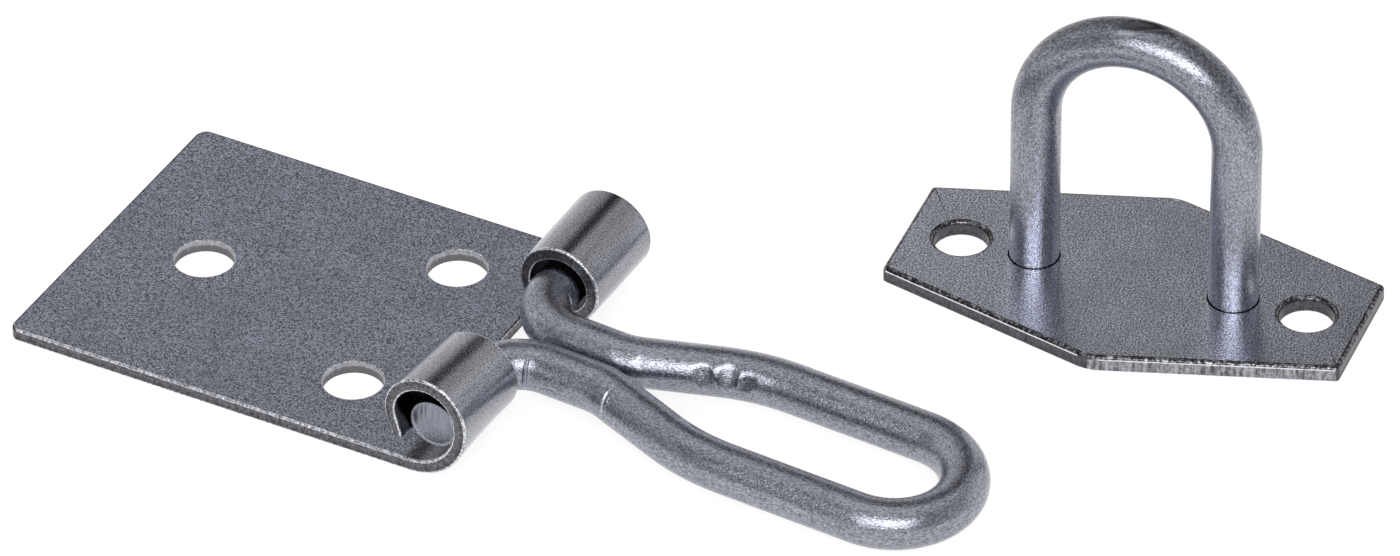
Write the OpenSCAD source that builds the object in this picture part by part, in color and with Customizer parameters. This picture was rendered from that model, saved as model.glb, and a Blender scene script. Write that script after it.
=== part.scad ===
// Wire-loop hasp in two halves: a plate that carries a hinged wire loop,
// and a round-wire staple on a small plate of its own.
// Origin: back face of the hasp plate, midway between its single screw hole and its pair.
// +X runs towards the loop, +Y along the hinge, +Z out of the door. Millimetres.

/* [Hasp plate] */
// Width of the plate, along the hinge
plate_w = 52.5; // [50:0.5:60]
// Thickness of the sheet
plate_t = 2; // [1.6:0.1:2.2]
// Length of the flat, from the free edge to the notch
flat_l = 61.1; // [60:0.1:61.5]
// Radius of the two corners at the free edge
corner_r = 1.5; // [0.5:0.1:5]
// Diameter of the three screw holes
screw_d = 8.8; // [5:0.1:9]
// Distance from the free edge to the single screw hole
single_x = 15.8; // [12:0.1:20]
// Distance along the plate from the single hole to the pair
screw_row = 32; // [28:0.5:36]
// Distance between the two holes of the pair
screw_pair = 29; // [24:0.5:32]

/* [Knuckles] */
// Outer radius of the rolled knuckles
roll_r = 6.3; // [6.2:0.1:6.5]
// Distance along the plate from the notch to the knuckle axis
roll_reach = 4.65; // [4:0.05:6]
// Radius of the wide bend that leads from the flat into the roll
lead_r = 12; // [12:0.5:14]
// Where the free end of the roll stops, in degrees round from the loop side
roll_end = 225; // [200:1:230]
// Length of each knuckle along the hinge
knuckle_l = 15; // [13:0.5:16]

/* [Wire loop] */
// Diameter of the wire, in the loop and in the staple
wire_d = 7; // [6:0.1:7]
// Distance between the centres of the two arms
arm_gap = 20; // [18:0.5:22]
// Length of the parallel part of the arms
arm_l = 19.8; // [12:0.1:30]
// Bend radius of the shoulders of the eye
shoulder_r = 30; // [20:0.5:31]
// How far each arm closes in for every millimetre of its slope
slope_rise = 0.352; // [0.34:0.001:0.352]
// Length of the slope between the shoulder and the waist
slope_l = 10.95; // [6:0.05:11]
// Bend radius of the waist
waist_r = 9; // [7:0.5:9]
// Length of the close, parallel neck
neck_l = 7; // [4:0.1:12]
// Bend radius of the elbows that turn the wire into the knuckles
elbow_r = 7.4; // [6.5:0.1:8]
// Distance between the two cut ends of the wire
wire_span = 44.2; // [40:0.1:48]
// How far the loop has slid along its knuckles, towards the front
end_play = 1.5; // [0:0.1:1.5]
// How far the wire lies below the axis of the wider knuckles
wire_low = 0.5; // [0:0.05:0.6]
// How far the wire lies behind that axis
wire_back = 0.15; // [0:0.05:0.3]

/* [Staple plate] */
// Length of the staple plate between its two square ends
base_l = 66.3; // [60:0.1:75]
// Width at the square ends
base_end_w = 20.3; // [16:0.1:26]
// Width at the middle
base_mid_w = 39.3; // [34:0.1:44]
// Thickness of the staple plate
base_t = 2.5; // [2:0.1:3]
// Diameter of its two screw holes
base_screw_d = 8; // [5:0.1:8.5]
// Distance between its two screw holes
base_screw_gap = 50.4; // [49:0.1:54]

/* [Staple] */
// Distance between the centres of the two legs
leg_gap = 29; // [26:0.5:30]
// Height of the top of the staple above the back of its plate
staple_h = 45.3; // [38:0.1:60]
// Depth of the flared rivet head under each leg
rivet_t = 0.8; // [0.4:0.1:1]
// Diameter of the flared rivet head
rivet_d = 8.6; // [7.8:0.1:9]

/* [Layout] */
// Where the staple half lies beside the plate, along X
staple_x = 99.6; // [90:0.5:140]
// Where the staple half lies beside the plate, along Y
staple_y = 56; // [40:0.1:80]
// How far the staple half is turned
staple_turn = 7.6; // [0:0.1:10]

/* [Hidden] */
$fn = 96;
zinc = "#8e939c";
bright_zinc = "#a3a8b0";
wire_r = wire_d / 2;
overlap = 2; // how far joined shapes run into each other
through = 1; // how far a hole's cutter runs past each face

// Hasp plate, measured from the origin
free_edge = -single_x - screw_row / 2;
notch_edge = free_edge + flat_l;

// The roll: a wide lead-in arc turns through the angle of a 3-4-5 triangle,
// and runs tangent into the round knuckle there
lead_sweep = acos(0.8);
roll_x = notch_edge + roll_reach;
roll_z = lead_r - 0.8 * (lead_r - roll_r);
roll_bore = roll_r - plate_t;
lead_x = roll_x - 0.6 * (lead_r - roll_r);

// The loop turns about the axis of its own wire
hinge_x = roll_x - wire_back;
hinge_z = roll_z - wire_low;

// The loop, measured from its hinge axis
slope_run = sqrt(1 - pow(slope_rise, 2));
slope_angle = asin(slope_rise);
waist_y = arm_gap / 2 - (shoulder_r + waist_r) * (1 - slope_run) - slope_l * slope_rise;
elbow_y = waist_y + elbow_r;
tip_centre = elbow_r + neck_l + (waist_r + shoulder_r) * slope_rise + slope_l * slope_run + arm_l;
tip_reach = tip_centre + arm_gap / 2;
loop_dip = asin((hinge_z - wire_r) / tip_reach);

// The staple
arch_r = leg_gap / 2;
arch_z = staple_h - wire_r - arch_r;

// A sector of a ring in the drawing plane, from one angle to another
module ring_sector(outer, inner, start, end) {
    reach = 2 * outer;
    steps = 4;
    turn = (end - start) / steps;
    edge = [for (step = [0:steps]) reach * [cos(start + step * turn), sin(start + step * turn)]];
    difference() {
        intersection() {
            circle(r = outer);
            polygon(concat([[0, 0]], edge));
        }
        circle(r = inner);
    }
}

// The sheet's path seen from the front: flat strip, wide lead-in and round knuckle
module knuckle_profile() {
    translate([notch_edge - overlap, 0])
        square([lead_x - notch_edge + overlap, plate_t]);
    translate([lead_x, lead_r])
        ring_sector(lead_r, lead_r - plate_t, -90, lead_sweep - 90);
    translate([roll_x, roll_z])
        ring_sector(roll_r, roll_bore, lead_sweep - 90, roll_end);
}

// One knuckle, starting at the given place along the hinge
module knuckle(start_y) {
    translate([0, start_y + knuckle_l, 0])
        rotate([90, 0, 0])
            linear_extrude(knuckle_l)
                knuckle_profile();
}

// Outline of the flat, square at the notch and rounded at the free edge
module flat_outline() {
    far_y = plate_w / 2 - corner_r;
    translate([free_edge + corner_r, -plate_w / 2])
        square([flat_l - corner_r, plate_w]);
    translate([free_edge, -far_y])
        square([corner_r + overlap, 2 * far_y]);
    for (side = [-1, 1])
        translate([free_edge + corner_r, side * far_y])
            circle(r = corner_r);
}

module hasp_plate() {
    color(zinc) {
        difference() {
            linear_extrude(plate_t)
                flat_outline();
            translate([-screw_row / 2, 0, -through])
                cylinder(h = plate_t + 2 * through, d = screw_d);
            for (side = [-1, 1])
                translate([screw_row / 2, side * screw_pair / 2, -through])
                    cylinder(h = plate_t + 2 * through, d = screw_d);
        }
        knuckle(-plate_w / 2);
        knuckle(plate_w / 2 - knuckle_l);
    }
}

// A straight length of wire along +X
module wire_run(length) {
    rotate([0, 90, 0])
        cylinder(h = length, r = wire_r);
}

// A bend that starts along +X and turns left by a quarter turn
module quarter_bend(bend_r) {
    translate([0, bend_r, 0])
        rotate([0, 0, -90])
            rotate_extrude(angle = 90)
                translate([bend_r, 0])
                    circle(r = wire_r);
}

// The first part of such a bend, up to the direction of the slope
module slope_bend(bend_r) {
    reach = 2 * bend_r;
    intersection() {
        quarter_bend(bend_r);
        translate([0, bend_r, -wire_d])
            linear_extrude(2 * wire_d)
                polygon([[0, 0], [0, -reach], [reach * slope_rise, -reach * slope_run]]);
    }
}

// What follows a slope bend
module after_slope_bend(bend_r) {
    translate([bend_r * slope_rise, bend_r * (1 - slope_run), 0])
        rotate([0, 0, slope_angle])
            children();
}

// The round tip of the eye, about its own centre
module loop_tip() {
    rotate([0, 0, -90])
        rotate_extrude(angle = 180)
            translate([arm_gap / 2, 0])
                circle(r = wire_r);
}

// One arm from the tip back to its cut end, laid out flat about the tip's centre
module loop_arm() {
    translate([0, arm_gap / 2, 0])
        rotate([0, 0, 180]) {
            wire_run(arm_l);
            translate([arm_l, 0, 0]) {
                slope_bend(shoulder_r);
                after_slope_bend(shoulder_r)
                    arm_slope();
            }
        }
}

// From the end of the shoulder to the cut end
module arm_slope() {
    wire_run(slope_l);
    translate([slope_l, 0, 0])
        mirror([0, 1, 0]) {
            slope_bend(waist_r);
            after_slope_bend(waist_r)
                arm_neck();
        }
}

// The close neck, the elbow and the straight end that sits in the knuckle
module arm_neck() {
    wire_run(neck_l);
    translate([neck_l, 0, 0]) {
        quarter_bend(elbow_r);
        translate([elbow_r, elbow_r, 0])
            rotate([0, 0, 90])
                wire_run(wire_span / 2 - elbow_y);
    }
}

module wire_loop() {
    color(zinc)
        translate([hinge_x, -end_play, hinge_z])
            rotate([0, loop_dip, 0])
                translate([tip_centre, 0, 0]) {
                    loop_tip();
                    loop_arm();
                    mirror([0, 1, 0])
                        loop_arm();
                }
}

// Places a piece of the staple half where it lies in the rest layout
module in_staple_half() {
    translate([staple_x, staple_y, 0])
        rotate([0, 0, staple_turn])
            children();
}

module staple_plate() {
    end_x = base_l / 2;
    color(bright_zinc)
        in_staple_half()
            difference() {
                linear_extrude(base_t)
                    polygon([
                        [-end_x, -base_end_w / 2],
                        [0, -base_mid_w / 2],
                        [end_x, -base_end_w / 2],
                        [end_x, base_end_w / 2],
                        [0, base_mid_w / 2],
                        [-end_x, base_end_w / 2]
                    ]);
                for (side = [-1, 1]) {
                    translate([side * base_screw_gap / 2, 0, -through])
                        cylinder(h = base_t + 2 * through, d = base_screw_d);
                    translate([side * arch_r, 0, -through])
                        cylinder(h = base_t + 2 * through, r = wire_r);
                    translate([side * arch_r, 0, 0])
                        cylinder(h = rivet_t, d1 = rivet_d, d2 = wire_d);
                }
            }
}

module staple() {
    color(zinc)
        in_staple_half() {
            translate([0, 0, arch_z])
                rotate([90, 0, 0])
                    rotate_extrude(angle = 180)
                        translate([arch_r, 0])
                            circle(r = wire_r);
            for (side = [-1, 1])
                translate([side * arch_r, 0, 0]) {
                    cylinder(h = arch_z, r = wire_r);
                    cylinder(h = rivet_t, d1 = rivet_d, d2 = wire_d);
                }
        }
}

hasp_plate();
wire_loop();
staple_plate();
staple();
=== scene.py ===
import math

import bmesh
import bpy
import numpy as np
from mathutils import Matrix, Vector


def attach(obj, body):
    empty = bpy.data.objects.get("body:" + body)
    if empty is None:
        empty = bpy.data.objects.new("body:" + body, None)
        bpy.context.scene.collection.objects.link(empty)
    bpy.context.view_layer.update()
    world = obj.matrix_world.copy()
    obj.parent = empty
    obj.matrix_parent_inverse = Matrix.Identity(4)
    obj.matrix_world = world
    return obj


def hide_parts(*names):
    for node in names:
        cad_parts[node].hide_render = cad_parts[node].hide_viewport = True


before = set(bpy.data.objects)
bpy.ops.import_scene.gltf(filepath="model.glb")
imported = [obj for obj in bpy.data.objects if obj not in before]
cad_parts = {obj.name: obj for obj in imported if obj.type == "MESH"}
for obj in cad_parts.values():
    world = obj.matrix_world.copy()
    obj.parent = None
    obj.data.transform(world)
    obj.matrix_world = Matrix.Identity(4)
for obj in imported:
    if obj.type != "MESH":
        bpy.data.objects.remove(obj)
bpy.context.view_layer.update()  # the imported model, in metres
mm = 0.001  # sizes below are in millimetres
print("frame loaded:", sorted(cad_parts))


# tools for modelling

cutPast = 1.0  # how far a hole's cutter runs past each face
cutTurn = 1.9  # degrees, so that no corner of the cutter meets an edge line of the sheet
weldDistance = 0.02  # doubles closer than this are merged
holeReach = 0.5  # what lies this near to the edge of a hole is its rim or wall
capRing = 0.15  # width of a flat ring inside the rim of a cut end
flatTilt = 0.985  # a normal more upright than this is one of the sheet's surface
wallTilt = 0.2  # a normal less upright than this is one of a wall
sheetSmooth, wireSmooth = 40, 50  # degrees between two faces up to which they shade as one


def clearSelection():
    active = bpy.context.object
    if active is not None and active.mode != "OBJECT":
        bpy.ops.object.mode_set(mode="OBJECT")
    bpy.ops.object.select_all(action="DESELECT")


def takePiece(piece):  # selects one piece and makes it the active one
    clearSelection()
    bpy.context.view_layer.objects.active = piece
    piece.select_set(True)


def editPiece(piece, kind="FACE"):  # edit mode, with nothing selected
    takePiece(piece)
    bpy.ops.object.mode_set(mode="EDIT")
    bpy.ops.mesh.select_mode(type=kind)
    bpy.ops.mesh.select_all(action="DESELECT")


def pickParts(piece, kind, test):  # selects the faces, edges or vertices that pass the test
    mesh = bmesh.from_edit_mesh(piece.data)
    mesh.normal_update()
    for part in {"FACE": mesh.faces, "EDGE": mesh.edges, "VERT": mesh.verts}[kind]:
        if test(part):
            part.select_set(True)
    mesh.select_flush_mode()
    bmesh.update_edit_mesh(piece.data)


def useModifier(piece, kind, **settings):  # adds a modifier and applies it
    takePiece(piece)
    modifier = piece.modifiers.new(kind.title(), kind)
    for key, value in settings.items():
        setattr(modifier, key, value)
    bpy.ops.object.modifier_apply(modifier=modifier.name)


def middleOf(part):
    return sum((vertex.co for vertex in part.verts), Vector()) / len(part.verts)


def slicePiece(piece, place, normal, test=None):  # cuts an edge line across the faces that pass
    editPiece(piece)
    pickParts(piece, "FACE", test or (lambda face: True))
    bpy.ops.mesh.bisect(plane_co=Vector(place) * mm, plane_no=normal)
    bpy.ops.object.mode_set(mode="OBJECT")


def cutRound(piece, place, radius, thickness):  # a punched hole right through a sheet
    clearSelection()
    bpy.ops.mesh.primitive_cylinder_add(
        vertices=96, radius=radius * mm, depth=(thickness + 2 * cutPast) * mm,
        location=(place[0] * mm, place[1] * mm, thickness / 2 * mm),
        rotation=(0, 0, math.radians(cutTurn)))
    cutter = bpy.context.object
    useModifier(piece, "BOOLEAN", operation="DIFFERENCE", object=cutter, solver="EXACT")
    bpy.data.objects.remove(cutter)


def roundUpright(piece, radius, segments, test):  # rounds corner edges through the thickness
    editPiece(piece, "EDGE")
    pickParts(piece, "EDGE", lambda edge: abs(edge.verts[0].co.z - edge.verts[1].co.z) > mm
              and test(middleOf(edge)))
    bpy.ops.mesh.bevel(offset=radius * mm, segments=segments, profile=0.5, affect="EDGES")
    bpy.ops.object.mode_set(mode="OBJECT")


def roundRims(piece, level, width, segments, test=None):
    def isRim(edge):  # one of its faces is a wall, and the other is the surface at this level
        if len(edge.link_faces) != 2 or (test and not test(middleOf(edge))):
            return False
        if any(abs(vertex.co.z - level * mm) > 1e-6 for vertex in edge.verts):
            return False
        tilts = sorted(abs(face.normal.z) for face in edge.link_faces)
        return tilts[0] < 0.3 and tilts[1] > 0.9

    editPiece(piece, "EDGE")
    pickParts(piece, "EDGE", isRim)
    bpy.ops.mesh.bevel(offset=width * mm, segments=segments, profile=0.5, affect="EDGES")
    bpy.ops.mesh.select_all(action="SELECT")
    bpy.ops.mesh.remove_doubles(threshold=weldDistance * mm)
    bpy.ops.object.mode_set(mode="OBJECT")


def keepCoordinates(piece, name, values):  # a pattern follows these through bends
    attribute = piece.data.attributes.new(name, "FLOAT_VECTOR", "POINT")
    attribute.data.foreach_set("vector", np.asarray(values, dtype=np.float32).ravel())


def vertexArray(piece):  # one row per vertex, in metres
    flat = np.zeros(len(piece.data.vertices) * 3, dtype=np.float32)
    piece.data.vertices.foreach_get("co", flat)
    return flat.reshape(-1, 3).astype(float)


def setVertices(piece, values):
    piece.data.vertices.foreach_set("co", np.asarray(values, dtype=np.float32).ravel())
    piece.data.update()


def finishSheet(piece, materials, isOtherWall, isOtherRim):
    # the slots are surface, wall, rim, other wall and other rim, by how a face of the blank leans
    for material in materials:
        piece.data.materials.append(material)
    for polygon in piece.data.polygons:
        tilt = abs(polygon.normal.z)
        if tilt > flatTilt:
            polygon.material_index = 0
        elif tilt < wallTilt:
            polygon.material_index = 3 if isOtherWall(polygon) else 1
        else:
            polygon.material_index = 4 if isOtherRim(polygon) else 2
    keepCoordinates(piece, "sheet", vertexArray(piece))


def nearHole(place, holes, reach):  # is a place of the blank by one of the holes
    return min(math.dist(place.xy, (hole[0] * mm, hole[1] * mm)) for hole in holes) < reach * mm


def smoothPiece(piece, degrees):
    takePiece(piece)
    bpy.ops.object.shade_smooth_by_angle(angle=math.radians(degrees))
    useModifier(piece, "WEIGHTED_NORMAL", keep_sharp=True, weight=60)


# tools for materials

class Signal:  # an output socket; arithmetic on it adds Math nodes
    def __init__(self, graph, socket):
        self.graph = graph
        self.socket = socket

    def __add__(self, other):
        return self.graph.math("ADD", self, other)

    def __sub__(self, other):
        return self.graph.math("SUBTRACT", self, other)

    def __rsub__(self, other):
        return self.graph.math("SUBTRACT", other, self)

    def __mul__(self, other):
        return self.graph.math("MULTIPLY", self, other)

    def __truediv__(self, other):
        return self.graph.math("DIVIDE", self, other)

    __radd__ = __add__
    __rmul__ = __mul__


class Graph:  # a node tree, filled from empty
    def __init__(self, owner):
        owner.use_nodes = True
        self.owner = owner
        self.tree = owner.node_tree
        self.tree.nodes.clear()

    def node(self, kind, settings=None, inputs=None, output=0):
        made = self.tree.nodes.new(kind)
        for key, value in (settings or {}).items():
            if key == "stops":  # a ramp's places and colours
                ramp = made.color_ramp
                while len(ramp.elements) < len(value):
                    ramp.elements.new(0.5)
                for element, (place, colour) in zip(ramp.elements, value):
                    element.position = place
                    element.color = colour if hasattr(colour, "__len__") else (colour,) * 3 + (1,)
            else:
                setattr(made, key, value)
        for key, value in (inputs or {}).items():
            if isinstance(value, Signal):
                self.tree.links.new(value.socket, made.inputs[key])
            else:
                made.inputs[key].default_value = value
        return Signal(self, made.outputs[output]) if made.outputs else None

    def attribute(self, name):  # coordinates kept on the piece
        return self.node("ShaderNodeAttribute", {"attribute_name": name}, output="Vector")

    def axis(self, vector, letter):
        return self.node("ShaderNodeSeparateXYZ", {}, {0: vector}, letter)

    def math(self, operation, *values):
        return self.node("ShaderNodeMath", {"operation": operation}, dict(enumerate(values)))

    def soft(self, value, low, high):  # 0 below low, 1 above high, smooth between
        return self.node("ShaderNodeMapRange", {"interpolation_type": "SMOOTHSTEP"},
                         {"Value": value, "From Min": low, "From Max": high})

    def blend(self, factor, first, second):  # 6, 7 and 2 are the colour sockets of a Mix node
        return self.node("ShaderNodeMix", {"data_type": "RGBA"},
                         {0: factor, 6: first, 7: second}, 2)

    def noise(self, vector, sizeMm, detail=2.0, roughness=0.5, stretch=(1, 1, 1), shift=0.0):
        scaled = self.node("ShaderNodeVectorMath", {"operation": "MULTIPLY"},
                           {0: vector, 1: tuple(k / (sizeMm * mm) for k in stretch)})
        moved = self.node("ShaderNodeVectorMath", {"operation": "ADD"},
                          {0: scaled, 1: (shift, shift * 0.7, shift * 1.3)})
        return self.node("ShaderNodeTexNoise", {}, {
            "Vector": moved, "Scale": 1.0, "Detail": detail, "Roughness": roughness})


def tint(grey, blue=1.0):  # zinc grey with its slight blue; linear values
    return (grey * (1.0 - 0.03 * blue), grey, grey * (1.0 + 0.17 * blue), 1.0)


def metal(graph, colour, roughness, normal):
    shader = graph.node("ShaderNodeBsdfPrincipled", {}, {
        "Base Color": colour, "Metallic": 1.0, "Roughness": roughness, "Normal": normal})
    graph.node("ShaderNodeOutputMaterial", {}, {"Surface": shader})
    return graph.owner


def bump(graph, height, depthMm):
    return graph.node("ShaderNodeBump", {}, {
        "Height": height, "Strength": 1.0, "Distance": depthMm * mm})


speckRange = (0.62, 0.74)  # values of the noise at the border and in the middle of a dark speck
rollBlend = 3.0  # over this length the grain of the flat gives way to the polish of the roll
# the inner side of the roll, which gets painted shade
innerFace = (1.2, 1.6)  # heights in the sheet between which the inner side of the roll starts


def sheetMaterial(name, look):  # zinc with fine grain, polished and streaked where it is rolled
    graph = Graph(bpy.data.materials.new(name))
    sheet = graph.attribute("sheet")
    grain = graph.noise(sheet, look["grain"], 2.0, 0.55)
    fine = graph.noise(sheet, look["grain"] * 0.5, 2.0, 0.5, shift=7.1)
    cloud = graph.noise(sheet, look["cloud"], 3.0, 0.6, shift=3.3)
    streak = graph.noise(sheet, 1.2, 3.0, 0.6, stretch=(1.0, 0.1, 1.0), shift=11.0)
    specks = graph.soft(graph.noise(sheet, look["grain"] * 0.9, 1.0, 0.6, shift=21.0), *speckRange)
    rolled = graph.soft(graph.axis(sheet, "X"), look["rollFrom"] * mm,
                        (look["rollFrom"] + rollBlend) * mm)
    # inside marks the inner side of the roll; the tone below darkens it as painted shade in the
    # knuckle bore
    inside = rolled * graph.soft(graph.axis(sheet, "Z"), innerFace[0] * mm, innerFace[1] * mm)
    pitted = (grain - 0.5) * look["mottle"] + (fine - 0.5) * look["mottle"] * 0.6
    shade = (0.5 + pitted * (0.35 + cloud * 1.3) * (1.0 - rolled * 0.5)
             + (cloud - 0.5) * look["cloudiness"] + (streak - 0.5) * (rolled * 0.3 + 0.06)
             - specks * look["specks"] - inside * 0.44)
    dark, light = look["grey"] * 0.2, look["grey"] * 1.8
    darkest = graph.blend(rolled, tint(dark, look["blue"]), tint(dark, 0.8))
    lightest = graph.blend(rolled, tint(light, look["blue"]), tint(light, 0.6))
    colour = graph.blend(shade, darkest, lightest)
    roughness = (look["roughness"] + (cloud - 0.5) * 0.12 + specks * 0.08 + (streak - 0.5) * 0.1
                 - rolled * look["rollPolish"] + inside * 0.1)
    height = (grain * 0.75 + fine * 0.35) * (1.0 - rolled * look["rollSmooth"])
    return metal(graph, colour, roughness, bump(graph, height, look["depth"]))


# what a cut edge has unless its look says otherwise; heights are shares of the thickness:
# the wall is torn below one of them, and below another a band of painted light is added to the
# tone, painted shade where its amount is negative
plainEdge = {"roughness": 0.34, "lineSize": 0.5, "tornBelow": -1.0, "tornDark": 0.0,
             "low": 0.45, "base": 0.5, "lineTop": 0.0, "paintedBandLight": 0.0}


def shearedMaterial(name, thickness, look):  # cut walls and rims: streaks through the thickness
    graph = Graph(bpy.data.materials.new(name))
    look = {**plainEdge, **look}
    sheet = graph.attribute("sheet")
    depth = graph.axis(sheet, "Z") / (thickness * mm)
    lines = graph.noise(sheet, look["lineSize"], 3.0, 0.6, stretch=(1.0, 1.0, 0.15))
    crumbs = graph.noise(sheet, 0.5, 2.0, 0.6, shift=5.0)
    torn = graph.soft(depth + (lines - 0.5) * 0.5, look["tornBelow"] + 0.12,
                      look["tornBelow"] - 0.12)
    # below lineTop a band of painted light is added, painted shade where its amount is negative
    line = graph.soft(depth, look["lineTop"], look["lineTop"] - 0.06)
    shade = ((lines - 0.5) * look["lines"] + (crumbs - 0.5) * look["crumbs"] + look["base"]
             - torn * look["tornDark"] + line * look["paintedBandLight"])
    colour = graph.blend(shade, tint(look["grey"] * look["low"], 0.3),
                         tint(look["grey"] * 1.55, 0.5))
    roughness = look["roughness"] + torn * 0.12
    return metal(graph, colour, roughness, bump(graph, crumbs * 0.7 + lines * 0.5, look["depth"]))


def wireMaterial(name, look):  # zinc on drawn wire: grain and drag lines that follow its bends
    graph = Graph(bpy.data.materials.new(name))
    drawn = graph.attribute("drawn")
    # the marks' tone: painted highlights and painted shade on the dents and nicks
    worn = graph.axis(graph.attribute("worn"), "X")
    grain = graph.noise(drawn, look["grain"], 2.0, 0.6, stretch=(0.6, 1.0, 1.0))
    fine = graph.noise(drawn, look["grain"] * 0.5, 2.0, 0.5, stretch=(0.7, 1.0, 1.0), shift=4.0)
    cloud = graph.noise(drawn, 6.0, 3.0, 0.6, stretch=(0.5, 1.0, 1.0), shift=9.0)
    drag = graph.noise(drawn, 0.8, 3.0, 0.6, stretch=(0.05, 1.0, 1.0), shift=13.0)
    specks = graph.soft(graph.noise(drawn, look["grain"] * 0.9, 1.0, 0.6, shift=17.0), *speckRange)
    shade = ((grain - 0.5) * look["mottle"] + (fine - 0.5) * look["mottle"] * 0.6
             + (cloud - 0.5) * 0.2 + (drag - 0.5) * 0.25 + 0.5
             - specks * look["specks"] + worn * 0.65)
    colour = graph.blend(shade, tint(look["grey"] * 0.25, 0.9), tint(look["grey"] * 1.75, 0.9))
    roughness = look["roughness"] + (cloud - 0.5) * 0.25 + specks * 0.1
    height = grain * 0.7 + fine * 0.3 + drag * 0.3
    return metal(graph, colour, roughness, bump(graph, height, look["depth"]))


# the hasp plate

haspPlateSetup = {
    "width": 52.5, "thickness": 2.0, "freeEdge": -31.8, "notchEdge": 29.3,
    "cornerRadius": 1.5, "topRim": 0.34, "bottomRim": 0.32, "holeRim": 0.12,
    "screwHoles": [(-16, 0), (16, 14.5), (16, -14.5)], "screwRadius": 4.28,
    "knuckleLength": 15.0, "tongue": 40.0, "tongueSteps": 72, "tongueRows": 5,
    # place along the hinge, roll centre x and z, roll radius, lead-in radius,
    # angle where the roll stops, straight tail after it
    "rolls": [
        (-26.25, 33.95, 9.85, 6.2, 9.0, 199, 3.2),
        (-11.25, 33.8, 7.9, 6.3, 9.45, 222, 0.4),
        (11.25, 33.9, 7.3, 6.1, 12.0, 225, 0.0),
        (26.25, 33.95, 7.4, 6.2, 12.0, 225, 0.0),
    ],
    # the sheet gets thinner by this share, from here on and over this much of the tongue
    "thinning": 0.35, "thinFrom": 0.7, "thinOver": 0.3,
    # past these two, the rims that face away get painted shade, nearly black
    "farSide": 20.0, "farEnd": -25.0,  # beyond these two the rims that face away are dark
    "surface": {
        "grey": 0.29, "blue": 1.2, "grain": 0.26, "cloud": 9.0, "cloudiness": 0.2, "mottle": 3.0,
        "specks": 0.5, "roughness": 0.34, "rollFrom": 29.8, "rollPolish": 0.26, "rollSmooth": 0.5,
        "depth": 0.08},
    # the cut walls' low grey is painted shade; their streaks and torn lower part are the metal's
    # own
    "wall": {"grey": 0.125, "depth": 0.14, "lines": 1.0, "crumbs": 2.6, "tornBelow": 0.45,
             "tornDark": 0.2},
    # the rounded rims' high grey is a painted glint along the edges
    "rim": {"grey": 0.52, "roughness": 0.2, "depth": 0.2, "lineSize": 0.6, "lines": 1.0,
            "crumbs": 3.4},
    # the hole walls' high grey is painted light from above, and the negative band below lineTop
    # paints shade down the hole, on top of the real torn zone
    "holeWall": {"grey": 0.34, "depth": 0.14, "lines": 0.8, "crumbs": 1.4, "tornBelow": 0.45,
                 "tornDark": 0.2, "lineTop": 0.6, "paintedBandLight": -0.5},
    # nearly black: painted shade on the rims that face away
    "farRimPaintedShade": {"grey": 0.04, "roughness": 0.7, "depth": 0.2, "lineSize": 0.6, "lines": 1.0,
               "crumbs": 1.0},
}


def rollPoint(station, share, depth, setup):  # where a point of the flat tongue ends up
    notch = setup["notchEdge"]
    centreX, centreZ, rollRadius, leadRadius, endAngle, tail = station
    leadX = centreX - math.sqrt((leadRadius - rollRadius) ** 2 - (leadRadius - centreZ) ** 2)
    sweep = math.atan2(centreX - leadX, leadRadius - centreZ)
    turn = math.radians(endAngle) - sweep + math.pi / 2
    # the tongue goes flat to the lead-in bend, through that into the roll, and out along the tail
    spans = [leadX - notch, leadRadius * sweep, rollRadius * turn, tail]
    depth *= 1.0 - setup["thinning"] * max(share - setup["thinFrom"], 0.0) / setup["thinOver"]
    along = share * sum(spans)
    if along <= spans[0]:
        return notch + along, depth
    along -= spans[0]
    if along <= spans[1]:
        angle = along / leadRadius
        return (leadX + (leadRadius - depth) * math.sin(angle),
                leadRadius - (leadRadius - depth) * math.cos(angle))
    along -= spans[1]
    angle = sweep - math.pi / 2 + min(along, spans[2]) / rollRadius
    past = max(along - spans[2], 0.0)
    return (centreX + (rollRadius - depth) * math.cos(angle) - past * math.sin(angle),
            centreZ + (rollRadius - depth) * math.sin(angle) + past * math.cos(angle))


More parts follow.
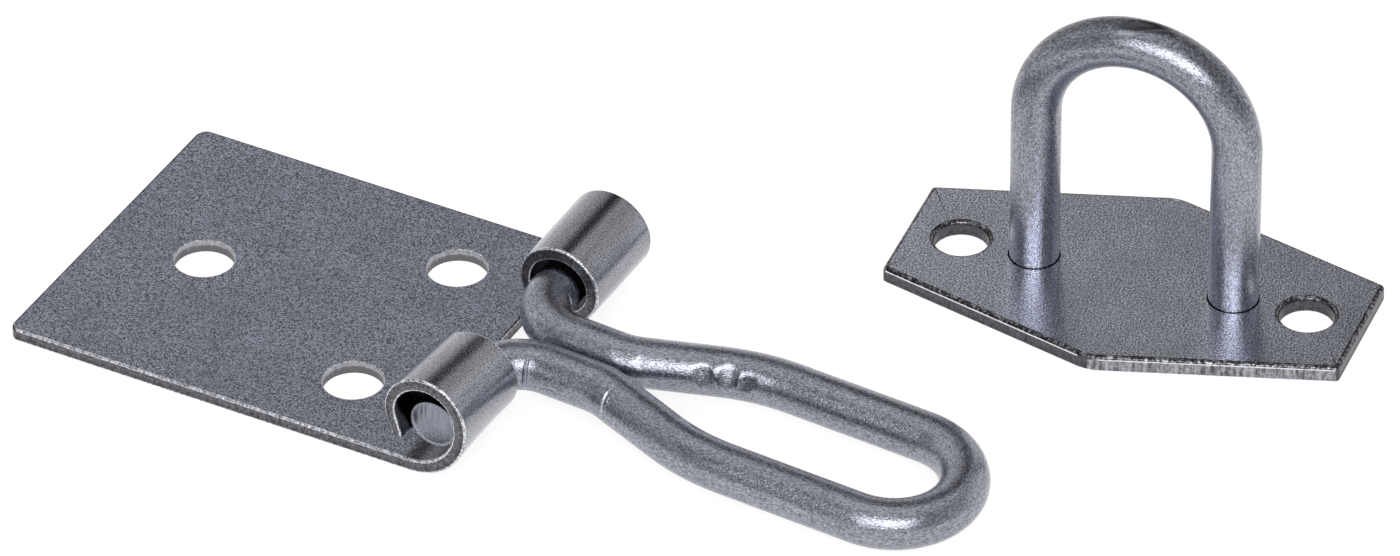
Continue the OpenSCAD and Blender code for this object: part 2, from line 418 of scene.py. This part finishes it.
def makeHaspPlate(setup):
    inner = setup["width"] / 2 - setup["knuckleLength"]
    notch, thickness = setup["notchEdge"], setup["thickness"]
    length = notch - setup["freeEdge"]
    clearSelection()
    bpy.ops.mesh.primitive_cube_add(
        size=1, location=((notch - length / 2) * mm, 0, thickness / 2 * mm))
    piece = bpy.context.object
    piece.name = "haspPlate"
    piece.scale = (length * mm, setup["width"] * mm, thickness * mm)
    bpy.ops.object.transform_apply(location=True, rotation=True, scale=True)
    for side in (-1, 1):  # the end face is split where the two tongues start
        slicePiece(piece, (0, side * inner, 0), (0, 1, 0), lambda face: face.normal.x > 0.9)
    editPiece(piece)
    pickParts(piece, "FACE", lambda face: face.normal.x > 0.9
              and abs(middleOf(face).y) > inner * mm)
    for _ in range(setup["tongueSteps"]):
        bpy.ops.mesh.extrude_region_move(TRANSFORM_OT_translate={
            "value": (setup["tongue"] / setup["tongueSteps"] * mm, 0, 0)})
    for row in range(1, setup["tongueRows"]):
        for side in (-1, 1):
            place = side * (inner + setup["knuckleLength"] * row / setup["tongueRows"])
            slicePiece(piece, (0, place, 0), (0, 1, 0), lambda face: middleOf(face).x > notch * mm
                       and middleOf(face).y * side > 0 and abs(face.normal.y) < 0.5)
    roundUpright(piece, setup["cornerRadius"], 8,
                 lambda spot: spot.x < (setup["freeEdge"] + 0.1) * mm)
    for place in sorted({hole[0] for hole in setup["screwHoles"]}):  # no face has a hole inside it
        slicePiece(piece, (place, 0, 0), (1, 0, 0))
    roundRims(piece, thickness, setup["topRim"], 3)
    roundRims(piece, 0.0, setup["bottomRim"], 3)
    for place in setup["screwHoles"]:
        cutRound(piece, place, setup["screwRadius"], thickness)
    byHole = setup["screwRadius"] + holeReach
    roundRims(piece, thickness, setup["holeRim"], 2,
              lambda spot: nearHole(spot, setup["screwHoles"], byHole))

    # picks the rims that face away beyond farSide and farEnd, which get painted shade
    def isPaintedShadeRim(polygon):
        away = max(polygon.normal.y, -polygon.normal.x) > 0.25
        return away and (polygon.center.y > setup["farSide"] * mm
                         or polygon.center.x < setup["farEnd"] * mm)

    finishSheet(
        piece, [
            sheetMaterial("zincSheet", setup["surface"]),
            shearedMaterial("shearedEdgePaintedShade", thickness, setup["wall"]),
            shearedMaterial("rimPaintedGlint", thickness, setup["rim"]),
            shearedMaterial("punchedHolePaintedLight", thickness, setup["holeWall"]),
            shearedMaterial("farRimPaintedShade", thickness, setup["farRimPaintedShade"])],
        lambda polygon: nearHole(polygon.center, setup["screwHoles"], byHole), isPaintedShadeRim)
    # the tongues are rolled up, the near one more openly towards its outer end
    spots = vertexArray(piece) / mm
    columns = np.array(setup["rolls"]).T
    for spot in spots:
        if spot[0] > notch + 1e-4:
            station = [float(np.interp(spot[1], columns[0], column)) for column in columns[1:]]
            share = (spot[0] - notch) / setup["tongue"]
            spot[0], spot[2] = rollPoint(station, share, spot[2], setup)
    setVertices(piece, spots * mm)
    smoothPiece(piece, sheetSmooth)
    return piece


haspPlate = makeHaspPlate(haspPlateSetup)
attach(haspPlate, "fixed_plates")
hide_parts("hasp_plate")
print("hasp plate made:", len(haspPlate.data.polygons), "faces")


# the wire pieces

def drawWire(name, setup):  # a circle drawn along runs and bends, in the XY plane
    radius, around = setup["wireRadius"], setup["around"]
    place = Vector((setup["start"][0], setup["start"][1], 0.0))
    heading = math.radians(setup["heading"])
    clearSelection()
    bpy.ops.mesh.primitive_circle_add(
        vertices=around, radius=radius * mm, location=place * mm,
        rotation=(math.radians(90), 0, heading - math.radians(90)))
    piece = bpy.context.object
    piece.name = name
    bpy.ops.object.transform_apply(location=True, rotation=True, scale=True)
    editPiece(piece, "EDGE")
    bpy.ops.mesh.select_all(action="SELECT")
    rings = [(0.0, place.copy(), heading)]  # distance along the wire, middle and heading of each
    for part in setup["path"]:
        begun, corner, _ = rings[-1]
        if len(part) == 1:  # a straight run
            steps = max(1, round(part[0] / setup["step"]))
            ahead = Vector((math.cos(heading), math.sin(heading), 0))
            for step in range(steps):
                bpy.ops.mesh.extrude_region_move(TRANSFORM_OT_translate={
                    "value": ahead * (part[0] / steps * mm)})
                done = part[0] * (step + 1) / steps
                rings.append((begun + done, corner + ahead * done, heading))
        else:  # a bend
            bend, turn = part[0], math.radians(part[1])
            steps = max(2, round(bend * abs(turn) / setup["step"]))
            left = Vector((-math.sin(heading), math.cos(heading), 0))
            centre = corner + left * math.copysign(bend, turn)
            bpy.ops.mesh.spin(steps=steps, angle=-turn, center=centre * mm, axis=(0, 0, 1))
            for step in range(1, steps + 1):
                partTurn = turn * step / steps
                spot = centre + Matrix.Rotation(partTurn, 3, "Z") @ (corner - centre)
                rings.append((begun + bend * abs(partTurn), spot, heading + partTurn))
            heading += turn
    bpy.ops.object.mode_set(mode="OBJECT")
    return piece, rings


def shapeWire(piece, rings, setup):  # marks, end flares and the coordinates along the wire
    around, radius = setup["around"], setup["wireRadius"]
    spots = vertexArray(piece).reshape(len(rings), around, 3) / mm
    along = np.array([done for done, _, _ in rings])[:, None] * np.ones(around)
    centres = np.array([tuple(spot) for _, spot, _ in rings])[:, None, :]
    left = np.array([(-math.sin(way), math.cos(way), 0) for _, _, way in rings])[:, None, :]
    out = (spots - centres) / radius
    angle = np.degrees(np.arctan2((out * left).sum(2), out[:, :, 2]))  # 0 is up, 90 is left
    change = np.zeros_like(along)
    worn = np.zeros_like(along)
    # each mark's last value is painted onto it: highlight above 0, shade below 0
    for place, side, halfLength, halfWidth, depth, twist, shade in setup["marks"]:
        a = along - place
        b = np.radians((angle - side + 180) % 360 - 180) * radius
        cosine, sine = math.cos(math.radians(twist)), math.sin(math.radians(twist))
        a, b = a * cosine + b * sine, b * cosine - a * sine
        spread = np.exp(-((a / halfLength) ** 2 + (b / halfWidth) ** 2) ** 1.5)  # soft-edged
        change -= depth * spread
        worn += shade * spread
    for end in (0.0, along.max()):  # the flare of a riveted foot
        change += setup["flare"] * np.clip(1 - np.abs(along - end) / setup["flareDepth"], 0, 1)
    drawn = np.stack([along, np.sin(np.radians(angle)) * radius,
                      np.cos(np.radians(angle)) * radius], axis=2)
    keepCoordinates(piece, "drawn", drawn.reshape(-1, 3) * mm)
    keepCoordinates(piece, "worn", np.stack([worn] * 3, axis=2))
    setVertices(piece, (spots + out * change[:, :, None]).reshape(-1, 3) * mm)


def closeEnds(piece, setup):  # fills the cut ends, the only faces with over 8 corners
    editPiece(piece, "EDGE")
    pickParts(piece, "EDGE", lambda edge: edge.is_boundary)
    bpy.ops.mesh.fill_holes(sides=0)
    bpy.ops.mesh.select_mode(type="FACE")
    bpy.ops.mesh.select_all(action="DESELECT")
    pickParts(piece, "FACE", lambda face: len(face.verts) > 8)
    bpy.ops.mesh.inset(thickness=setup["rimWidth"] * mm, depth=setup["rimHeight"] * mm,
                       use_individual=True)
    bpy.ops.mesh.inset(thickness=capRing * mm, depth=0, use_individual=True)
    bpy.ops.mesh.select_all(action="SELECT")
    bpy.ops.mesh.normals_make_consistent(inside=False)
    bpy.ops.object.mode_set(mode="OBJECT")
    cutEnds = [polygon for polygon in piece.data.polygons if len(polygon.vertices) > 8]
    for polygon in cutEnds:
        polygon.material_index = 1
    print(piece.name, "has", len(cutEnds), "cut ends")


def placeWire(piece, turns, place):
    matrix = Matrix.Translation(Vector(place) * mm)
    for angle, axis in turns:
        matrix = matrix @ Matrix.Rotation(math.radians(angle), 4, axis)
    piece.data.transform(matrix)
    piece.data.update()


wireLoopSetup = {
    "wireRadius": 3.5, "around": 64, "step": 0.35, "start": (0, -22.0), "heading": 90,
    # a run is one length, and a bend is its radius and the degrees it turns left;
    # where there are marks they are in finer parts
    "path": [
        (10.95,), (7.4, -60), *[(7.4, -1)] * 16, (7.4, -14), (7.0,), (9.0, -20.61),
        (1.2,), *[(0.12,)] * 20, (7.35,), (30.0, 20.61), (19.8,),
        (10.0, 180), (19.8,), (30.0, 6.61), *[(30.0, 0.7)] * 20, *[(0.18,)] * 20, (7.35,),
        (9.0, -20.61), (7.0,), (7.4, -90), (10.95,),
    ],
    # place along the wire, angle round it, half length, half width, depth, twist, and a tone on
    # the mark: painted highlight above 0, painted shade below 0
    "marks": [
        (138.4, 68, 1.3, 1.5, 0.36, 30, 0.2), (134.9, 63, 1.3, 1.7, 0.40, -20, 0.2),
        (131.8, 73, 0.9, 1.4, 0.30, -35, -0.2), (136.7, 66, 0.3, 1.6, -0.16, 28, -0.6),
        (133.3, 70, 0.25, 1.4, -0.14, -12, -0.5),
        (34.7, 296, 0.22, 2.3, 0.24, 6, 1.2), (35.15, 296, 0.26, 2.3, -0.16, 6, -0.3),
        (19.5, 275, 0.24, 2.6, -0.12, -3, 0.2), (19.9, 275, 0.24, 2.6, 0.16, -3, 0.9),
        (147.0, 52, 0.5, 1.0, 0.14, 0, 0.0), (149.0, 42, 1.2, 1.2, 0.12, 0, 0.0),
        (167.0, 288, 0.5, 1.6, 0.15, 0, 0.0),
    ],
    "rimWidth": 0.3, "rimHeight": 0.1, "flare": 0.0, "flareDepth": 0.8,
    "hinge": (33.8, -1.5, 6.94), "dip": 2.89,
    "surface": {"grey": 0.28, "grain": 0.24, "mottle": 1.7, "specks": 0.4, "roughness": 0.22,
                "depth": 0.056},
    "cutEnd": {"grey": 0.26, "roughness": 0.4, "depth": 0.14},
}


def cutEndMaterial(name, look):  # a cropped wire end, with the lines that the blade left
    graph = Graph(bpy.data.materials.new(name))
    place = graph.node("ShaderNodeTexCoord", output="Object")
    lines = graph.noise(place, 0.4, 3.0, 0.6, stretch=(1.0, 1.0, 0.1))
    crumbs = graph.noise(place, 0.5, 3.0, 0.6, shift=2.0)
    shade = (lines - 0.5) * 1.2 + (crumbs - 0.5) * 0.6 + 0.5
    colour = graph.blend(shade, tint(look["grey"] * 0.6), tint(look["grey"] * 1.5))
    return metal(graph, colour, look["roughness"] + (crumbs - 0.5) * 0.2,
                 bump(graph, lines + crumbs * 0.4, look["depth"]))


zincWire = wireMaterial("zincWire", wireLoopSetup["surface"])
cutEnd = cutEndMaterial("cutEnd", wireLoopSetup["cutEnd"])


def makeWire(name, setup, turns, place):  # draws one wire flat and puts it in place
    piece, rings = drawWire(name, setup)
    shapeWire(piece, rings, setup)
    closeEnds(piece, setup)
    piece.data.materials.append(zincWire)
    piece.data.materials.append(cutEnd)
    placeWire(piece, turns, place)
    smoothPiece(piece, wireSmooth)
    return piece


wireLoop = makeWire("wireLoop", wireLoopSetup, [(wireLoopSetup["dip"], "Y")],
                    wireLoopSetup["hinge"])
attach(wireLoop, "loop")
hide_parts("wire_loop")
print("wire loop made:", len(wireLoop.data.polygons), "faces")

stapleHalf = {"place": (99.6, 56, 0), "turn": 7.6}  # where both of its pieces lie

stapleSetup = {
    "wireRadius": 3.5, "around": 64, "step": 0.4, "start": (-14.5, 0.0), "heading": 90,
    "path": [(27.3,), (14.5, -180), (27.3,)],
    # a dent painted dark with a painted highlight on its rim, and three patches of painted shade
    # along the arch; the values are those of the loop's marks
    "marks": [
        (50.6, 84, 2.5, 0.85, 0.42, 22, -1.3), (49.4, 62, 1.6, 0.5, 0.1, 22, 0.9),
        (46.0, 96, 13.0, 2.2, 0.0, 0, -0.55), (62.0, 80, 9.0, 1.6, 0.0, -4, -0.4),
        (33.0, 60, 12.0, 1.8, 0.0, 0, -0.3),
    ],
    "flare": 0.75, "flareDepth": 0.8, "rimWidth": 0.2, "rimHeight": 0.0, **stapleHalf,
}
staple = makeWire("stapleWire", stapleSetup, [(stapleSetup["turn"], "Z"), (90, "X")],
                  stapleSetup["place"])
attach(staple, "fixed_plates")
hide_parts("staple")
print("staple made:", len(staple.data.polygons), "faces")


# the staple plate

staplePlateSetup = {
    "length": 66.3, "endWidth": 20.3, "middleWidth": 39.3, "thickness": 2.5,
    "endCorner": 0.5, "middleCorner": 1.6, "topRim": 0.6, "bottomRim": 0.25,
    "screwGap": 50.4, "screwRadius": 3.8, "legGap": 29.0, "legHole": 3.58, "legRim": 0.12,
    "wireGrip": 4.4,  # edges this near to the middle of a leg are the rim of its hole
    # two edges are roughly cropped: the way they face, and how well a wall has to agree with it
    "croppedNormal": (0.275, -0.961, 0.0), "croppedMatch": 0.97, **stapleHalf,
    "surface": {  # it has no roll, so the roll starts far outside
        "grey": 0.59, "blue": 0.9, "grain": 0.28, "cloud": 7.0, "cloudiness": 0.2, "mottle": 2.3,
        "specks": 0.5, "roughness": 0.16, "rollFrom": 500.0, "rollPolish": 0.0, "rollSmooth": 0.0,
        "depth": 0.042},
    # the cut walls' very low grey is painted shade; their streaks and torn lower part are the
    # metal's own
    "wall": {"grey": 0.09, "depth": 0.1, "lines": 0.7, "crumbs": 1.6, "tornBelow": 0.4,
             "tornDark": 0.15},
    # the near-black top of the rounded rim is painted shade, and the bright band below lineTop is
    # a painted highlight
    "rim": {"grey": 0.5, "roughness": 0.2, "depth": 0.1, "lineSize": 0.8, "lines": 0.5,
            "crumbs": 1.6, "low": 0.06, "base": 0.06, "lineTop": 0.86, "paintedBandLight": 0.95},
    # their coarse streaks are the cut's own; their higher grey is painted light on the edge that
    # faces the front lamp
    "croppedWall": {"grey": 0.25, "roughness": 0.24, "depth": 0.22, "lines": 3.0, "crumbs": 2.0,
                    "low": 0.35},
}


def makeStaplePlate(setup):
    thickness = setup["thickness"]
    screwHoles = [(side * setup["screwGap"] / 2, 0) for side in (-1, 1)]
    legHoles = [(side * setup["legGap"] / 2, 0) for side in (-1, 1)]
    clearSelection()
    bpy.ops.mesh.primitive_cube_add(size=1, location=(0, 0, thickness / 2 * mm))
    piece = bpy.context.object
    piece.name = "staplePlate"
    piece.scale = (setup["length"] * mm, setup["endWidth"] * mm, thickness * mm)
    bpy.ops.object.transform_apply(location=True, rotation=True, scale=True)
    slicePiece(piece, (0, 0, 0), (1, 0, 0))
    editPiece(piece, "VERT")
    pickParts(piece, "VERT", lambda vertex: abs(vertex.co.x) < 0.1 * mm)
    bpy.ops.transform.resize(value=(1, setup["middleWidth"] / setup["endWidth"], 1),
                             center_override=(0, 0, 0))
    bpy.ops.object.mode_set(mode="OBJECT")
    roundUpright(piece, setup["endCorner"], 6, lambda spot: abs(spot.x) > 20 * mm)
    roundUpright(piece, setup["middleCorner"], 4, lambda spot: abs(spot.x) < 0.1 * mm)
    slicePiece(piece, (0, 0, 0), (0, 1, 0))  # no face has a hole inside it
    for screwHole, legHole in zip(screwHoles, legHoles):
        slicePiece(piece, (*screwHole, 0), (1, 0, 0))
        slicePiece(piece, (*legHole, 0), (1, 0, 0))
    for place in screwHoles:
        cutRound(piece, place, setup["screwRadius"], thickness)
    roundRims(piece, thickness, setup["topRim"], 4)
    roundRims(piece, 0.0, setup["bottomRim"], 2)
    for place in legHoles:
        cutRound(piece, place, setup["legHole"], thickness)
    roundRims(piece, thickness, setup["legRim"], 2,
              lambda spot: nearHole(spot, legHoles, setup["wireGrip"]))
    cropped = Vector(setup["croppedNormal"])
    finishSheet(
        piece, [
            sheetMaterial("zincSheetBright", setup["surface"]),
            shearedMaterial("stapleShearedPaintedShade", thickness, setup["wall"]),
            shearedMaterial("stapleRimPaintedLight", thickness, setup["rim"]),
            shearedMaterial("stapleCroppedPaintedLight", thickness, setup["croppedWall"])],
        lambda polygon: abs(polygon.normal.dot(cropped)) > setup["croppedMatch"]
        and not nearHole(polygon.center, screwHoles, setup["screwRadius"] + holeReach),
        lambda polygon: False)
    piece.data.transform(Matrix.Translation(Vector(setup["place"]) * mm)
                         @ Matrix.Rotation(math.radians(setup["turn"]), 4, "Z"))
    piece.data.update()
    smoothPiece(piece, sheetSmooth)
    return piece


staplePlate = makeStaplePlate(staplePlateSetup)
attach(staplePlate, "fixed_plates")
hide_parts("staple_plate")
print("staple plate made:", len(staplePlate.data.polygons), "faces")


# floor, light and camera

stageSetup = {"floorSize": 6.0, "floorDrop": 0.02, "floorGrey": 0.38, "floorGlow": 0.78}


def makeFloor(setup):
    clearSelection()
    bpy.ops.mesh.primitive_plane_add(size=setup["floorSize"],
                                     location=(0, 0, -setup["floorDrop"] * mm))
    floor = bpy.context.object
    floor.name = "floor"
    graph = Graph(bpy.data.materials.new("paleFloor"))
    cameraRay, glossyRay, throughRay = (
        graph.node("ShaderNodeLightPath", output=name)
        for name in ("Is Camera Ray", "Is Glossy Ray", "Is Transmission Ray"))
    seen = graph.math("MINIMUM", cameraRay + glossyRay + throughRay, 1.0)
    matte = graph.node("ShaderNodeBsdfDiffuse", {}, {"Color": (setup["floorGrey"],) * 3 + (1,)})
    glow = graph.node("ShaderNodeEmission", {}, {"Color": (1, 1, 1, 1),
                                                 "Strength": seen * setup["floorGlow"]})
    both = graph.node("ShaderNodeAddShader", {}, {0: matte, 1: glow})
    graph.node("ShaderNodeOutputMaterial", {}, {"Surface": both})
    floor.data.materials.append(graph.owner)


makeFloor(stageSetup)
print("floor made")

skySetup = {
    # sine of the elevation, and brightness there, on three sides
    "back": [(0.0, 0.95), (0.24, 0.95), (0.40, 0.70), (0.55, 0.56), (0.74, 0.62), (0.84, 0.92),
             (0.92, 1.10), (1.0, 1.08)],
    "left": [(0.0, 0.95), (0.26, 0.93), (0.45, 0.95), (0.60, 0.95), (0.72, 0.85), (0.84, 0.86),
             (1.0, 1.05)],
    "front": [(0.0, 0.58), (0.3, 0.54), (0.5, 0.50), (0.65, 0.42), (0.82, 0.40), (0.90, 0.58),
              (1.0, 1.05)],
    # directions, and how far toward them each side starts and is full
    "backAzimuth": -29, "backReach": [-0.2, 0.35], "leftAzimuth": -86, "leftHalf": [0.55, 0.25],
    # a dark upright gap in the wall
    "gapAzimuth": -14, "gapRise": [0.36, 0.44, 0.84, 0.90], "gapHalf": [0.21, 0.13],
    "gapDark": 0.88,
    # a brighter part of the wall
    "wallAzimuth": 45, "wallReach": [0.3, 0.9], "wallGlow": 0.2,
    "facing": [0.0, 0.2],  # keeps the left side and the gap to their own half of the sky
}


def makeSky(setup):
    world = bpy.data.worlds.new("studio")
    bpy.context.scene.world = world
    graph = Graph(world)
    ray = graph.node("ShaderNodeTexCoord", output="Generated")
    rise = graph.axis(ray, "Z")

    def toward(azimuth):  # how far a direction lies that way; azimuths run from +Y to +X
        azimuth = math.radians(azimuth)
        return graph.node("ShaderNodeVectorMath", {"operation": "DOT_PRODUCT"},
                          {0: ray, 1: (math.sin(azimuth), math.cos(azimuth), 0)}, "Value")

    back, left, front = (graph.node("ShaderNodeValToRGB", {"stops": setup[side]}, {0: rise})
                         for side in ("back", "left", "front"))

    def strip(azimuth, half):  # an upright strip of the sky around a direction
        beside = graph.math("ABSOLUTE", toward(azimuth + 90))
        return graph.soft(beside, *half) * graph.soft(toward(azimuth), *setup["facing"])

    sky = graph.blend(graph.soft(toward(setup["backAzimuth"]), *setup["backReach"]), front, back)
    sky = graph.blend(strip(setup["leftAzimuth"], setup["leftHalf"]), sky, left)
    low, lowEnd, highStart, high = setup["gapRise"]
    gap = (graph.soft(rise, low, lowEnd) * graph.soft(rise, high, highStart)
           * strip(setup["gapAzimuth"], setup["gapHalf"]))
    wall = graph.soft(toward(setup["wallAzimuth"]), *setup["wallReach"])
    shader = graph.node("ShaderNodeBackground", {}, {
        "Color": sky, "Strength": 1.0 - gap * setup["gapDark"] + wall * setup["wallGlow"]})
    graph.node("ShaderNodeOutputWorld", {}, {"Surface": shader})


makeSky(skySetup)

lampSetup = [
    # name, azimuth, elevation, distance in metres, width, height and power
    ("frontLight", 155, 37, 0.80, 0.82, 0.46, 3.5),
    ("frontLamp", 145, 32, 0.78, 0.24, 0.24, 0.45),
]
target = Vector((45.451, 30.470, 0)) * mm  # what the camera and the lamps look at


def makeLamp(name, azimuth, elevation, distance, width, height, power):
    a, e = math.radians(azimuth), math.radians(elevation)
    toward = Vector((math.sin(a) * math.cos(e), math.cos(a) * math.cos(e), math.sin(e)))
    data = bpy.data.lights.new(name, "AREA")
    data.shape, data.size, data.size_y = "RECTANGLE", width, height
    data.energy = power
    lamp = bpy.data.objects.new(name, data)
    lamp.location = target + toward * distance
    lamp.rotation_euler = toward.to_track_quat("Z", "Y").to_euler()
    bpy.context.scene.collection.objects.link(lamp)


for lampRow in lampSetup:
    makeLamp(*lampRow)

cameraSetup = {  # fitted to the outlines in the photo
    "azimuth": 28.664, "elevation": 36.798, "roll": -0.427, "distance": 1607.14,
    "sensor": 36.0, "lens": 298.96,
}


def makeCamera(setup):
    a, e, r = (math.radians(setup[key]) for key in ("azimuth", "elevation", "roll"))
    right = Vector((math.cos(a), math.sin(a), 0))
    ahead = Vector((-math.sin(a) * math.cos(e), math.cos(a) * math.cos(e), -math.sin(e)))
    up = right.cross(ahead)
    rolledRight = right * math.cos(r) + up * math.sin(r)
    rolledUp = up * math.cos(r) - right * math.sin(r)
    data = bpy.data.cameras.new("camera")
    data.sensor_width, data.sensor_fit = setup["sensor"], "HORIZONTAL"
    data.lens = setup["lens"]
    data.clip_start, data.clip_end = 0.05, 20
    camera = bpy.data.objects.new("camera", data)
    camera.rotation_euler = Matrix((rolledRight, rolledUp, -ahead)).transposed().to_euler()
    camera.location = target - ahead * setup["distance"] * mm
    bpy.context.scene.collection.objects.link(camera)
    bpy.context.scene.camera = camera


makeCamera(cameraSetup)
bpy.context.scene.view_settings.view_transform = "Standard"
print("sky, lamps and camera made")
